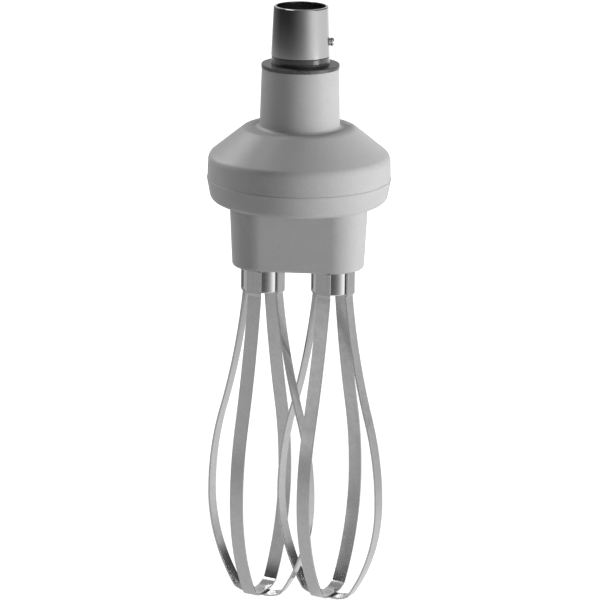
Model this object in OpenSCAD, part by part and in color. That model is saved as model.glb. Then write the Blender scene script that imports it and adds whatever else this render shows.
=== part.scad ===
// Twin whisk attachment for a commercial hand blender.
// A bayonet coupling tube carries a round gearbox, whose oval nose turns two meshed whisks in
// opposite directions. All lengths are in millimetres.
// The origin is the centre of the coupling tube's mouth. +Z points out of the mouth, towards the
// motor unit. The whisks hang side by side along X, and +Y is the back.

/* [Coupling tube] */
// Length of the tube from its mouth to the face that the motor unit rests on
tube_length = 31.6; // [28:0.1:36]
// Inner radius of the tube at its mouth, where the motor unit's spigot goes in
tube_bore_r = 13.4; // [13:0.05:14]
// Wall of the tube at its mouth
tube_wall = 1.5; // [1.2:0.05:2]
// How much wider the tube is at the seal ring than at its mouth
tube_flare = 1.1; // [0.6:0.05:1.6]
// Depth of that wide bore
tube_bore_depth = 24.4; // [20:0.1:24.6]
// Step in to the narrower bore below it, which stops the spigot
tube_step = 0.6; // [0.3:0.1:1]
// Height of the rubber seal ring round the foot of the tube
seal_height = 4.6; // [3:0.1:6]
// Radial thickness of the seal ring
seal_thickness = 0.9; // [0.6:0.05:1.2]
// Depth of the bayonet pin below the mouth
pin_depth = 19.2; // [16:0.1:22]
// Radius of the bayonet pin's head
pin_r = 2.3; // [2:0.05:2.6]
// How far the bayonet pin stands out of the tube
pin_reach = 2.6; // [2:0.1:3.5]
// Height of the tube's flange, which is held in the neck
flange_height = 3; // [2:0.1:4]
// Overhang of that flange
flange_overhang = 2.65; // [2.2:0.05:3]

/* [Upper housing] */
// Thickness of the steel collar on top of the neck
collar_height = 2.1; // [1.5:0.1:3]
// Overhang of the collar past the neck
collar_overhang = 0.25; // [0:0.05:0.6]
// Depth of the collar's tube, which holds the flange down
collar_depth = 16.9; // [14:0.1:18]
// Length of the neck below the collar
neck_length = 34.4; // [30:0.1:38]
// Wall of the neck round the collar's tube
neck_wall = 3.5; // [3:0.1:4]
// How much wider the neck is at its foot than at its top
neck_flare = 1; // [0.5:0.1:2]
// Distance of the shoulder line from the neck's foot
moat_width = 5.8; // [5:0.1:7]
// Height of the shoulder line above the neck's foot, which leaves a shallow moat
shoulder_rise = 3.9; // [1:0.1:5]
// Rounding of the shoulder
shoulder_round = 8; // [4:0.5:9]
// Drop of the cone from the shoulder line to the band
cone_drop = 18; // [16:0.5:22]
// Rounding between the cone and the band
band_round = 5.6; // [3:0.1:8]
// How much narrower the band is at its top
band_taper = 0.4; // [0:0.1:1]
// Height of the upper band, from the cone to the parting line
band_height = 12.4; // [10:0.2:16]
// Wall of both housing shells
shell_wall = 3; // [2.5:0.1:3.4]
// Space between the shells' wall and the gears and screw bosses inside it
inside_space = 2.3; // [1.8:0.1:3]

/* [Lower housing] */
// Step out from the upper band to the lower shell at the parting line
parting_step = 0.35; // [0:0.05:0.6]
// Depth of the lower shell, from the parting line to its underside
pan_depth = 12.6; // [12:0.1:15]
// How much the lower shell narrows on its way down
pan_taper = 2.3; // [1:0.1:4]
// Rounding of the lower shell's bottom edge
pan_round = 4; // [2:0.5:6]
// Height of the oval nose below the round shell
nose_height = 38.2; // [37:0.2:44]
// Wall of the nose round the bearings at its bottom end
nose_wall = 3.1; // [2.6:0.1:3.5]
// Draft angle of the nose
nose_draft = 2.6; // [1:0.1:4]
// Rounding of the nose's bottom edge
nose_round = 1.8; // [0.5:0.1:2.5]

/* [Housing screws] */
// Angle of each housing screw above and below the X axis
screw_angle = 30; // [28:1:32]
// Radius of the screws' shanks
screw_r = 1.9; // [1.5:0.1:2]
// Radius of the screws' heads
screw_head_r = 3.5; // [3:0.1:3.6]
// Height of the screws' heads
screw_head_height = 2.6; // [2:0.1:3]
// Wall of each screw boss round the shank
boss_wall = 2.2; // [1.8:0.1:2.6]
// Space between each screw boss and the nearest gear
boss_space = 1.2; // [0.8:0.1:1.6]

/* [Gears] */
// Distance between the two whisk axes
whisk_spacing = 39; // [38.6:0.1:39.4]
// Teeth of each output gear
output_teeth = 26; // [26:1:26]
// Teeth of the layshaft's pinion
lay_pinion_teeth = 12; // [12:1:13]
// Teeth of the layshaft's wheel
lay_wheel_teeth = 38; // [36:1:38]
// Teeth of the input pinion
input_teeth = 12; // [12:1:14]
// Distance from the input shaft to the layshaft
lay_offset = 25; // [24.6:0.1:25.4]
// Width of the output gears' teeth
output_face = 6.5; // [5.5:0.1:6.6]
// Width of the input pair's teeth
input_face = 5.5; // [4.5:0.1:6]
// Play between meshing teeth at the pitch line
backlash = 0.16; // [0.1:0.02:0.24]

/* [Shafts and bearings] */
// Radius of the input shaft
input_shaft_r = 5; // [4.5:0.1:5.2]
// Radius of the input shaft's lower end
input_spigot_r = 3; // [2.6:0.1:3.2]
// Height of the drive coupling on top of the input shaft
coupling_height = 15; // [14:0.5:18]
// Depth of the coupling's hexagonal socket
socket_depth = 11; // [9:0.5:12]
// Width of that socket across its flats
socket_width = 9.4; // [8:0.1:10]
// Outer radius of the input bearing
input_bearing_r = 13; // [12.5:0.1:14]
// Radius of the layshaft
lay_shaft_r = 3.5; // [3:0.1:4]
// Radius of the whisk spindles
spindle_r = 6; // [5.8:0.1:6.3]
// Outer radius of the spindle bearings
spindle_bearing_r = 14; // [13.6:0.1:14.4]
// Width of every ball bearing
bearing_width = 8; // [7:0.2:8.4]
// Width of the spindle seals
shaft_seal_width = 7.5; // [6:0.1:8]
// Radial thickness of the bronze bushes
bush_wall = 2; // [1.5:0.1:2.2]
// Thickness of the gear plate between the two shells
plate_thickness = 3; // [2.5:0.1:3.2]

/* [Whisks] */
// Length of each whisk below its hub
whisk_length = 181.4; // [168:0.2:192]
// Width of the whisks' flat strip
strip_width = 8; // [6.5:0.25:9]
// Thickness of the strip
strip_thickness = 1.1; // [0.8:0.05:1.3]
// Width of the strip's ends on the hub
tab_width = 8.8; // [8:0.1:9.6]
// How far the strip steps inwards below the hub
joggle_depth = 0.9; // [0.5:0.05:1]
// Height of that step
joggle_height = 1.8; // [1.4:0.1:3]
// Largest radius of the outer loop
outer_belly_r = 31.9; // [29:0.1:33]
// Height of the outer loop's widest place above the bottom
outer_belly_height = 58.5; // [52:0.1:68]
// Radius of the outer loop's long lower curve
outer_lower_r = 100; // [92:1:110]
// Angle at which the outer loop leaves the hub
outer_top_lean = 6; // [4:0.5:7]
// Largest radius of the inner loop
inner_belly_r = 31.5; // [29:0.1:33]
// Height of the inner loop's widest place above the bottom
inner_belly_height = 64.8; // [58:0.1:72]
// Radius of the inner loop's long lower curve
inner_lower_r = 112; // [104:1:122]
// Angle at which the inner loop leaves the hub
inner_top_lean = 8; // [6:0.5:9]
// Radius of the outer loop's curve above its widest place
outer_shoulder_r = 180; // [165:5:195]
// Radius of the inner loop's curve above its widest place
inner_shoulder_r = 160; // [150:5:180]
// Outer radius of the bend between each leg and the bottom
bottom_bend_r = 3.5; // [2.5:0.1:5]
// How far the bottom curves up from its middle to those bends
bottom_rise = 2.6; // [1.5:0.1:3.5]
// Extra length of the flat middle of the bottom past the strip that crosses it
bottom_land_margin = 0.4; // [0.2:0.1:1]
// Radius of the whisk hub
hub_r = 10.9; // [10.6:0.1:11.2]
// Height of the whisk hub
hub_height = 12.8; // [11:0.1:15]
// Radius of the whisk's plug-in shank
shank_r = 4; // [3.6:0.1:4.2]
// Length of the plug-in shank above the hub
shank_length = 20; // [18:0.5:21]
// Length of the shank's square end
square_length = 9; // [7:0.5:10]
// Turn of both whisks, in mesh, from the mirrored position
mesh_turn = 1.75; // [-3:0.25:3]

/* [Fits] */
// Radial gap of a fixed fit
fixed_gap = 0.03; // [0.02:0.01:0.05]
// Radial gap of a running or sliding fit
running_gap = 0.05; // [0.03:0.01:0.08]
// End gap between a turning face and its neighbour
end_gap = 0.3; // [0.25:0.05:0.4]

/* [Hidden] */
$fn = 96;

// Colours
steel = [0.72, 0.72, 0.71];
dark_steel = [0.5, 0.5, 0.5];
bronze = [0.66, 0.5, 0.3];
plastic = [0.6, 0.6, 0.6];
rubber = [0.12, 0.12, 0.12];
gear_steel = [0.56, 0.57, 0.58];

// Radii from the tube's bore out to the shoulder
tube_mouth_r = tube_bore_r + tube_wall;
tube_base_r = tube_mouth_r + tube_flare;
seal_r = tube_base_r - 0.2;
tube_under_seal_r = seal_r - seal_thickness;
counterbore_r = tube_under_seal_r + flange_overhang;
neck_top_r = counterbore_r + neck_wall;
neck_foot_r = neck_top_r + neck_flare;
shoulder_r = neck_foot_r + moat_width;

// Levels down the axis, each from the one above it
seat_z = -tube_length;
collar_z = seat_z - collar_height;
neck_foot_z = collar_z - neck_length;
shoulder_z = neck_foot_z + shoulder_rise;
band_top_z = shoulder_z - cone_drop;
parting_z = band_top_z - band_height;
pan_z = parting_z - pan_depth;
nose_z = pan_z - nose_height;

// Gear centres. The distances between the axes set the modules.
output_module = whisk_spacing / output_teeth;
input_module = 2 * lay_offset / (input_teeth + lay_wheel_teeth);
half_spacing = whisk_spacing / 2;
lay_distance = output_module * (lay_pinion_teeth + output_teeth) / 2;
lay_x = (pow(lay_distance, 2) - pow(lay_offset, 2) - pow(half_spacing, 2)) / whisk_spacing;
lay_y = sqrt(pow(lay_offset, 2) - pow(lay_x, 2));

// Tooth form: 20 degree stub teeth
pressure_angle = 20;
addendum = 0.8;
dedendum = 1;
flank_steps = 4;
output_tip_r = output_module * (output_teeth / 2 + addendum);
lay_wheel_tip_r = input_module * (lay_wheel_teeth / 2 + addendum);

// The screws clear the output gears, and the wall clears the screws' bosses and the wheel
boss_r = screw_r + boss_wall;
rib_thickness = 2;
screw_distance = output_tip_r + boss_space + boss_r;
screw_circle_r = half_spacing * cos(screw_angle)
    + sqrt(pow(screw_distance, 2) - pow(half_spacing * sin(screw_angle), 2));
cavity_r = max(screw_circle_r + boss_r, lay_offset + lay_wheel_tip_r) + inside_space;
band_r = cavity_r + shell_wall;

// Inside of the shells
cavity_top_z = neck_foot_z - shell_wall;
floor_z = pan_z + shell_wall;
cone_top_r = band_r - band_taper;
cone_slope = cone_drop / (cone_top_r - shoulder_r);
cone_wall_drop = shell_wall * sqrt(1 + cone_slope * cone_slope);
function cone_inside_z(r) = shoulder_z - cone_slope * (r - shoulder_r) - cone_wall_drop;
function cone_inside_r(z) = shoulder_r + (shoulder_z - cone_wall_drop - z) / cone_slope;

// Tube, collar and input bearing in the neck
seal_top_z = seat_z + seal_height;
seal_seat_depth = 1;
pin_shank_r = pin_r - 0.6;
flange_top_z = collar_z - collar_depth;
bearing_top_z = flange_top_z - flange_height;
input_bearing_z = bearing_top_z - bearing_width;
bearing_lip = 2;
input_race_r = input_bearing_r - bearing_lip;

// Gear levels
plate_top_z = parting_z + plate_thickness;
bush_flange = 0.7;
input_gear_z = plate_top_z + bush_flange + end_gap;
input_gear_top_z = input_gear_z + input_face;
output_gear_z = floor_z + 0.5;
output_gear_top_z = output_gear_z + output_face;
circlip_height = 1.1;
circlip_width = 2.4;
groove_depth = 0.6;

// Phase of a gear that meshes with another one at angle "toward" from the first gear's centre
function mesh_phase(toward, phase, teeth, other_teeth) =
    toward + 180 - (0.5 - (toward - phase) * teeth / 360) * 360 / other_teeth;
toward_lay = atan2(lay_y, lay_x + half_spacing);
toward_input = atan2(-lay_y, -lay_x);
right_phase = mesh_phase(0, 0, output_teeth, output_teeth);
lay_pinion_phase = mesh_phase(toward_lay, 0, output_teeth, lay_pinion_teeth);
input_phase = mesh_phase(toward_input, 0, lay_wheel_teeth, input_teeth);

// Bearing levels in the nose
upper_bearing_top_z = pan_z - 0.5;
upper_bearing_z = upper_bearing_top_z - bearing_width;
spindle_clips_z = [upper_bearing_z - end_gap - circlip_height, output_gear_top_z + 0.05];
seal_recess = 0.5;
shaft_seal_z = nose_z + seal_recess;
lower_bearing_z = shaft_seal_z + shaft_seal_width + 1.8;
lower_bearing_top_z = lower_bearing_z + bearing_width;
spindle_race_r = spindle_bearing_r - bearing_lip;
nose_bottom_r = spindle_bearing_r + nose_wall;
nose_top_r = nose_bottom_r + nose_height * tan(nose_draft);
spindle_end_z = nose_z + 0.4;

// Whisk levels
hub_top_z = nose_z - 1;
hub_bottom_z = hub_top_z - hub_height;
whisk_bottom_z = hub_bottom_z - whisk_length;
flat_r = hub_r - 0.4;
tab_outer_r = flat_r + strip_thickness;
joggle_top_z = hub_bottom_z - 0.2;
leg_top_z = joggle_top_z - joggle_height;
leg_top_r = tab_outer_r - joggle_depth;
bottom_land = strip_width / 2 + bottom_land_margin;
shank_top_z = hub_top_z + shank_length;
square_width = sqrt(2) * (shank_r - 0.2);
round_shank_z = shank_top_z - square_length;
whisk_angle = 360 / 16;
left_angle = mesh_turn - whisk_angle;
right_angle = -mesh_turn - whisk_angle;

// ---- Helpers ----

function unit(v) = v / norm(v);

// Points of the arc that rounds corner b between a and c
function corner_arc(a, b, c, r, steps) =
    let (u = unit(a - b), v = unit(c - b), half = acos(u * v) / 2,
         centre = b + unit(u + v) * r / sin(half),
         first = b + u * r / tan(half) - centre, last = b + v * r / tan(half) - centre,
         start = atan2(first.y, first.x), sweep = atan2(cross(first, last), first * last))
    [for (i = [0:steps]) centre + r * [cos(start + sweep * i / steps), sin(start + sweep * i / steps)]];

// Closed outline from corners [x, y, rounding]
function rounded(corners, steps = 8) =
    let (n = len(corners))
    [for (i = [0:n - 1])
        let (c = corners[i], before = corners[(i + n - 1) % n], after = corners[(i + 1) % n])
        each c.z == 0 ? [[c.x, c.y]]
            : corner_arc([before.x, before.y], [c.x, c.y], [after.x, after.y], c.z, steps)];

// Ring or tube between two levels
module ring(outer, inner, low, high) {
    translate([0, 0, low])
        difference() {
            cylinder(r = outer, h = high - low);
            translate([0, 0, -1]) cylinder(r = inner, h = high - low + 2);
        }
}

module rod(r, low, high) {
    translate([0, 0, low]) cylinder(r = r, h = high - low);
}

// Both whisk sides: -1 is the left, 1 the right
module at_side(side) {
    translate([side * half_spacing, 0, 0]) children();
}

module at_layshaft() {
    translate([lay_x, lay_y, 0]) children();
}

module at_screws() {
    for (side = [0, 180], turn = [-screw_angle, screw_angle])
        rotate([0, 0, side + turn]) translate([screw_circle_r, 0, 0]) children();
}

// Screw boss with a rib that ties it to the shell's wall
module screw_boss(low, high, rib_high) {
    rod(boss_r, low, high);
    translate([0, -rib_thickness / 2, low])
        cube([cavity_r + 0.1 - screw_circle_r, rib_thickness, rib_high - low]);
}

// ---- Gears ----

function involute_angle(radius, base_r) =
    let (roll = sqrt(max(0, pow(radius / base_r, 2) - 1))) roll * 180 / PI - atan(roll);

function polar(r, a) = [r * cos(a), r * sin(a)];

function gear_outline(teeth, module_mm) =
    let (pitch_r = teeth * module_mm / 2, base_r = pitch_r * cos(pressure_angle),
         tip_r = pitch_r + addendum * module_mm, root_r = pitch_r - dedendum * module_mm,
         flank_r = max(base_r, root_r + 0.1 * module_mm),
         half = 90 / teeth - backlash / 4 / pitch_r * 180 / PI + involute_angle(pitch_r, base_r),
         radii = [for (i = [0:flank_steps]) flank_r + (tip_r - flank_r) * i / flank_steps])
    [for (t = [0:teeth - 1])
        let (centre = t * 360 / teeth)
        each concat(
            [polar(root_r, centre - 180 / teeth), polar(root_r, centre - half)],
            [for (i = [0:flank_steps])
                polar(radii[i], centre - half + involute_angle(radii[i], base_r))],
            [for (i = [flank_steps:-1:0])
                polar(radii[i], centre + half - involute_angle(radii[i], base_r))],
            [polar(root_r, centre + half)])];

// Spur gear with a bore, standing on z = 0; a rim and a hub are left where web_cut is over 0
module spur_gear(teeth, module_mm, face, bore_r, phase, web_cut = 0) {
    rim_r = (teeth / 2 - 2.6) * module_mm;
    boss_r = bore_r + 3.5;
    difference() {
        rotate([0, 0, phase]) linear_extrude(face) polygon(gear_outline(teeth, module_mm));
        translate([0, 0, -1]) cylinder(r = bore_r, h = face + 2);
        if (web_cut > 0)
            for (z = [-1, face - web_cut]) ring_cut(rim_r, boss_r, z, z + web_cut + 1);
    }
}

module ring_cut(outer, inner, low, high) {
    translate([0, 0, low])
        difference() {
            cylinder(r = outer, h = high - low);
            cylinder(r = inner, h = high - low);
        }
}

// ---- Bearings ----

// Sealed ball bearing with a shallow shield recess in both faces
module ball_bearing(outer, inner, low, width) {
    race = (outer - inner) / 4;
    recess = 0.4;
    translate([0, 0, low])
        rotate_extrude()
            difference() {
                translate([inner, 0]) square([outer - inner, width]);
                for (y = [-1, width - recess])
                    translate([inner + race, y]) square([outer - inner - 2 * race, recess + 1]);
            }
}

module spindle_bearing(side, low) {
    color(steel)
        at_side(side) ball_bearing(spindle_bearing_r, spindle_r + running_gap, low, bearing_width);
}

module flanged_bush(bore_r, low, high, flange) {
    ring(bore_r + bush_wall, bore_r, low, high);
    if (flange > 0) ring(bore_r + bush_wall + 1, bore_r, high, high + flange);
}

// ---- Coupling tube ----

module coupling_sleeve() {
    lip = 0.8;
    lower_bore_r = tube_bore_r - tube_step;
    profile = rounded([
        [tube_bore_r, 0, 0], [tube_mouth_r, 0, lip], [tube_base_r, seal_top_z, 0],
        [tube_under_seal_r, seal_top_z, 0], [tube_under_seal_r, flange_top_z, 0],
        [counterbore_r - fixed_gap, flange_top_z, 0], [counterbore_r - fixed_gap, bearing_top_z, 0],
        [input_race_r, bearing_top_z, 0], [input_race_r, flange_top_z, 0],
        [lower_bore_r, flange_top_z, 0], [lower_bore_r, -tube_bore_depth, 0],
        [tube_bore_r, -tube_bore_depth, 0]]);
    color(steel)
        difference() {
            rotate_extrude() polygon(profile);
            along_pin() cylinder(r = pin_shank_r + fixed_gap, h = tube_base_r + 1);
        }
}

module along_pin() {
    translate([0, 0, -pin_depth]) rotate([0, 90, 0]) children();
}

// Pin riveted into the tube's wall, with a rounded head outside it
module bayonet_pin() {
    lowest = pin_depth + pin_r;
    wall_r = tube_mouth_r + (tube_base_r - tube_mouth_r) * lowest / -seal_top_z;
    inner_end = tube_bore_r + 0.1;
    head_end = wall_r + pin_reach;
    dome = 0.6;
    color(steel)
        along_pin() rotate_extrude()
            polygon(rounded([
                [0, inner_end, 0], [pin_shank_r, inner_end, 0], [pin_shank_r, wall_r, 0],
                [pin_r, wall_r, 0], [pin_r, head_end, dome], [0, head_end, 0]]));
}

// Rubber ring round the tube's foot, let into the collar
module seal_ring() {
    bead = 0.4;
    foot_z = seat_z - seal_seat_depth;
    color(rubber)
        rotate_extrude()
            polygon(rounded([
                [tube_under_seal_r + fixed_gap, foot_z, 0], [seal_r, foot_z, 0],
                [seal_r, seal_top_z, bead], [tube_under_seal_r + fixed_gap, seal_top_z, 0]]));
}

// Steel collar on the neck, with the tube that holds the sleeve's flange down
module retaining_collar() {
    collar_r = neck_top_r + collar_overhang;
    inner = tube_under_seal_r + fixed_gap;
    recess_r = seal_r + fixed_gap;
    recess_z = seat_z - seal_seat_depth;
    edge = 0.4;
    color(dark_steel)
        rotate_extrude()
            polygon(rounded([
                [recess_r, seat_z, 0], [collar_r, seat_z, edge], [collar_r, collar_z, 0],
                [counterbore_r - fixed_gap, collar_z, 0], [counterbore_r - fixed_gap, flange_top_z, 0],
                [inner, flange_top_z, 0], [inner, recess_z, 0], [recess_r, recess_z, 0]]));
}

// ---- Housing ----

// Half outline of the upper housing, from the axis outwards
upper_outline = rounded([
    [0, collar_z, 0], [neck_top_r, collar_z, 0], [neck_foot_r, neck_foot_z, 1.6],
    [shoulder_r, shoulder_z, shoulder_round], [cone_top_r, band_top_z, band_round],
    [band_r, parting_z, 0], [0, parting_z, 0]]);

// Half outline of the space inside it
upper_cavity = [
    [0, cavity_top_z], [cone_inside_r(cavity_top_z), cavity_top_z],
    [cavity_r, cone_inside_z(cavity_r)], [cavity_r, parting_z - 1], [0, parting_z - 1]];

boss_top_z = cone_inside_z(screw_circle_r + boss_r) + cone_wall_drop - 1.2;
lay_bush_r = lay_shaft_r + running_gap + bush_wall;
lay_bush_z = input_gear_top_z + end_gap;
lay_bush_top_z = lay_bush_z + 2.2 * lay_shaft_r;
screw_tip_z = boss_top_z - boss_wall;
lip_z = input_bearing_z - shell_wall;

module upper_housing() {
    color(plastic)
        difference() {
            union() {
                difference() {
                    rotate_extrude() polygon(upper_outline);
                    rotate_extrude() polygon(upper_cavity);
                }
                at_screws() screw_boss(plate_top_z, boss_top_z, cone_inside_z(cavity_r) + 1);
                at_layshaft() rod(lay_bush_r + boss_wall, lay_bush_z, cavity_top_z + 1);
            }
            rod(counterbore_r, bearing_top_z, collar_z + 1);
            rod(input_bearing_r + fixed_gap, input_bearing_z, bearing_top_z + 1);
            rod(input_race_r, lip_z - 1, input_bearing_z + 1);
            rod(input_bearing_r, cavity_top_z - 1, lip_z);
            at_layshaft() rod(lay_bush_r + fixed_gap, lay_bush_z - 1, lay_bush_top_z);
            at_screws() rod(screw_r + fixed_gap, plate_top_z - 1, screw_tip_z + 0.5);
        }
}

pan_top_r = band_r + parting_step;
pan_bottom_r = pan_top_r - pan_taper;
gasket_height = 1.2;
gasket_r = pan_top_r - 1.35;

module nose() {
    half_outline = rounded([
        [0, pan_z + 1, 0], [nose_top_r + tan(nose_draft), pan_z + 1, 0],
        [nose_bottom_r, nose_z, nose_round], [0, nose_z, 0]]);
    for (side = [-1, 1]) at_side(side) rotate_extrude() polygon(half_outline);
    rotate([90, 0, 90]) translate([0, 0, -half_spacing]) linear_extrude(whisk_spacing) {
        polygon(half_outline);
        mirror([1, 0]) polygon(half_outline);
    }
}

screw_seat_z = pan_z + screw_head_height + 0.3;

module lower_housing() {
    color(plastic)
        difference() {
            union() {
                difference() {
                    rotate_extrude()
                        polygon(rounded([
                            [0, parting_z, 0], [pan_top_r, parting_z, 0],
                            [pan_bottom_r, pan_z, pan_round], [0, pan_z, 0]]));
                    translate([0, 0, floor_z])
                        cylinder(r1 = pan_bottom_r - shell_wall, r2 = cavity_r, h = parting_z - floor_z);
                    rod(gasket_r + fixed_gap, parting_z - gasket_height, parting_z + 1);
                }
                nose();
                at_screws() screw_boss(floor_z - 1, parting_z, parting_z - gasket_height);
            }
            for (side = [-1, 1]) at_side(side) {
                rod(spindle_bearing_r + fixed_gap, upper_bearing_z, floor_z + 0.01);
                rod(spindle_race_r, lower_bearing_top_z - 1, upper_bearing_z + 1);
                rod(spindle_bearing_r + fixed_gap, nose_z - 1, lower_bearing_top_z);
            }
            at_screws() {
                rod(screw_r + 0.2, pan_z - 1, parting_z + 1);
                rod(screw_head_r + 0.3, pan_z - 1, screw_seat_z);
            }
        }
}

module housing_gasket() {
    color(rubber) ring(gasket_r, cavity_r + 0.2, parting_z - gasket_height, parting_z);
}

// Four screws that clamp both shells and the gear plate
module housing_screws() {
    color(steel)
        at_screws() {
            rod(screw_r, screw_seat_z - 0.5, screw_tip_z);
            difference() {
                rod(screw_head_r, screw_seat_z - screw_head_height, screw_seat_z);
                translate([0, 0, screw_seat_z - screw_head_height - 1]) cylinder(r = 1.6, h = 2.5, $fn = 6);
            }
        }
}

module gear_plate() {
    plate_r = cavity_r - 0.4;
    color(steel)
        difference() {
            rod(plate_r, parting_z, plate_top_z);
            rod(input_spigot_r + running_gap + bush_wall + fixed_gap, parting_z - 1, plate_top_z + 1);
            at_layshaft() rod(lay_bush_r + fixed_gap, parting_z - 1, plate_top_z + 1);
            at_screws() rod(screw_r + 0.2, parting_z - 1, plate_top_z + 1);
            for (side = [-1, 1]) at_side(side) rod(spindle_r + 3, parting_z - 1, plate_top_z + 1);
        }
}

// ---- Input ----

module input_bearing() {
    color(steel) ball_bearing(input_bearing_r, input_shaft_r + running_gap, input_bearing_z, bearing_width);
}

module input_bush() {
    color(bronze) flanged_bush(input_spigot_r + running_gap, parting_z, plate_top_z, bush_flange);
}

coupling_top_z = -tube_bore_depth - 0.6;
shaft_top_z = coupling_top_z - socket_depth;
circlip_z = input_bearing_z - end_gap - circlip_height;

module input_shaft() {
    collar_r = input_shaft_r + 1.5;
    color(steel)
        difference() {
            union() {
                rod(input_shaft_r, input_gear_top_z + end_gap, shaft_top_z);
                rod(input_spigot_r + 1, input_gear_top_z, input_gear_top_z + end_gap + 1);
                rod(input_spigot_r, parting_z + end_gap, input_gear_top_z + 1);
                rod(collar_r, bearing_top_z + end_gap, bearing_top_z + end_gap + flange_height);
            }
            ring_cut(input_shaft_r + 1, input_shaft_r - groove_depth,
                circlip_z, circlip_z + circlip_height);
        }
}

// Cup on top of the input shaft that the motor's hexagonal drive enters
module drive_coupling() {
    corner_r = socket_width / sqrt(3);
    chamfer = 1;
    bottom_z = coupling_top_z - coupling_height;
    color(dark_steel)
        difference() {
            rod(tube_bore_r - tube_step - 4, bottom_z, coupling_top_z);
            translate([0, 0, shaft_top_z]) cylinder(r = corner_r, h = socket_depth + 1, $fn = 6);
            rod(input_shaft_r + fixed_gap, bottom_z - 1, shaft_top_z);
            translate([0, 0, coupling_top_z - chamfer])
                cylinder(r1 = socket_width / 2, r2 = corner_r + chamfer, h = chamfer + 0.01);
        }
}

module input_pinion() {
    color(gear_steel)
        translate([0, 0, input_gear_z])
            spur_gear(input_teeth, input_module, input_face, input_spigot_r + fixed_gap, input_phase);
}

module external_circlip(shaft_r, low) {
    gap_angle = 40;
    translate([0, 0, low])
        rotate([0, 0, gap_angle / 2])
            rotate_extrude(angle = 360 - gap_angle)
                translate([shaft_r - groove_depth + fixed_gap, fixed_gap])
                    square([circlip_width, circlip_height - 2 * fixed_gap]);
}

module input_circlip() {
    color(dark_steel) external_circlip(input_shaft_r, circlip_z);
}

// ---- Layshaft ----

module layshaft_upper_bush() {
    color(bronze)
        at_layshaft()
            flanged_bush(lay_shaft_r + running_gap, lay_bush_z, lay_bush_top_z, 0);
}

module layshaft_lower_bush() {
    color(bronze)
        at_layshaft() flanged_bush(lay_shaft_r + running_gap, parting_z, plate_top_z, bush_flange);
}

module layshaft() {
    color(steel)
        at_layshaft() {
            rod(lay_shaft_r, output_gear_z, lay_bush_top_z - 0.5);
            rod(lay_shaft_r + 1.5, output_gear_top_z, parting_z - end_gap);
        }
}

module layshaft_wheel() {
    color(gear_steel)
        at_layshaft() translate([0, 0, input_gear_z])
            spur_gear(lay_wheel_teeth, input_module, input_face, lay_shaft_r + fixed_gap, 0, 1.4);
}

module layshaft_pinion() {
    color(gear_steel)
        at_layshaft() translate([0, 0, output_gear_z])
            spur_gear(lay_pinion_teeth, output_module, output_face,
                lay_shaft_r + fixed_gap, lay_pinion_phase);
}

// ---- Spindles ----

// Hollow spindle with a round socket and a square driver for the whisk's shank
module spindle(side, turn) {
    collar_r = spindle_r + 1.5;
    top_z = spindle_clips_z[1] + circlip_height + 0.6;
    square_gap = 0.12;
    socket_w = square_width + 2 * square_gap;
    color(steel)
        at_side(side)
            difference() {
                union() {
                    rod(spindle_r, spindle_end_z, top_z);
                    rod(collar_r, upper_bearing_top_z + end_gap, output_gear_z);
                }
                rod(shank_r + running_gap, spindle_end_z - 1, round_shank_z + 0.3);
                rotate([0, 0, turn])
                    translate([-socket_w / 2, -socket_w / 2, round_shank_z - 1])
                        cube([socket_w, socket_w, square_length + 2]);
                for (z = spindle_clips_z)
                    ring_cut(spindle_r + 1, spindle_r - groove_depth, z, z + circlip_height);
            }
}

module output_gear(side, phase) {
    color(gear_steel)
        at_side(side) translate([0, 0, output_gear_z])
            spur_gear(output_teeth, output_module, output_face, spindle_r + fixed_gap, phase, 1.6);
}

module spindle_circlips(side) {
    color(dark_steel) at_side(side) for (z = spindle_clips_z) external_circlip(spindle_r, z);
}

module shaft_seal(side) {
    lip_gap = 0.1;
    color(rubber)
        at_side(side)
            ring(spindle_bearing_r, spindle_r + lip_gap, shaft_seal_z, shaft_seal_z + shaft_seal_width);
}

// ---- Whisks ----

snap_z = hub_top_z + 5;
snap_width = 1.6;
snap_groove_r = shank_r - 0.7;

// Turned hub with four flats for the strips, a shank and a square driving end
module whisk_hub(side, turn) {
    seat_boss_r = spindle_r - 0.5;
    edge = 0.5;
    color(steel)
        at_side(side) rotate([0, 0, turn])
            difference() {
                union() {
                    rotate_extrude()
                        polygon(rounded([
                            [0, hub_bottom_z, 0], [hub_r, hub_bottom_z, edge], [hub_r, hub_top_z, edge],
                            [seat_boss_r, hub_top_z, 0], [seat_boss_r, spindle_end_z - end_gap, 0],
                            [shank_r, spindle_end_z - end_gap, 0], [shank_r, round_shank_z, edge],
                            [0, round_shank_z, 0]]));
                    translate([-square_width / 2, -square_width / 2, round_shank_z - 1])
                        cube([square_width, square_width, square_length + 1]);
                }
                for (quarter = [0:3])
                    rotate([0, 0, quarter * 90])
                        translate([flat_r, -hub_r, hub_bottom_z - 1])
                            cube([hub_r, 2 * hub_r, hub_height + 1 + edge]);
                ring_cut(shank_r + 1, snap_groove_r, snap_z, snap_z + snap_width);
            }
}

// Spring ring that holds the shank in its socket
module snap_ring(side, turn) {
    gap_angle = 50;
    color(dark_steel)
        at_side(side) rotate([0, 0, turn])
            rotate_extrude(angle = 360 - gap_angle)
                translate([snap_groove_r + fixed_gap, snap_z + 0.05])
                    square([shank_r - snap_groove_r - fixed_gap, snap_width - 0.1]);
}

function arc_points(centre, r, from, to, steps) =
    [for (i = [0:steps]) let (a = from + (to - from) * i / steps) centre + polar(r, a)];

// Point at distance p from a and q from b, on the right of the way from a to b
function meeting(a, p, b, q) =
    let (d = norm(b - a), ahead = (p * p - q * q + d * d) / (2 * d))
    a + ahead * (b - a) / d + sqrt(p * p - ahead * ahead) * [b.y - a.y, a.x - b.x] / d;

function direction(from, to) = atan2(to.y - from.y, to.x - from.x);

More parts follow.
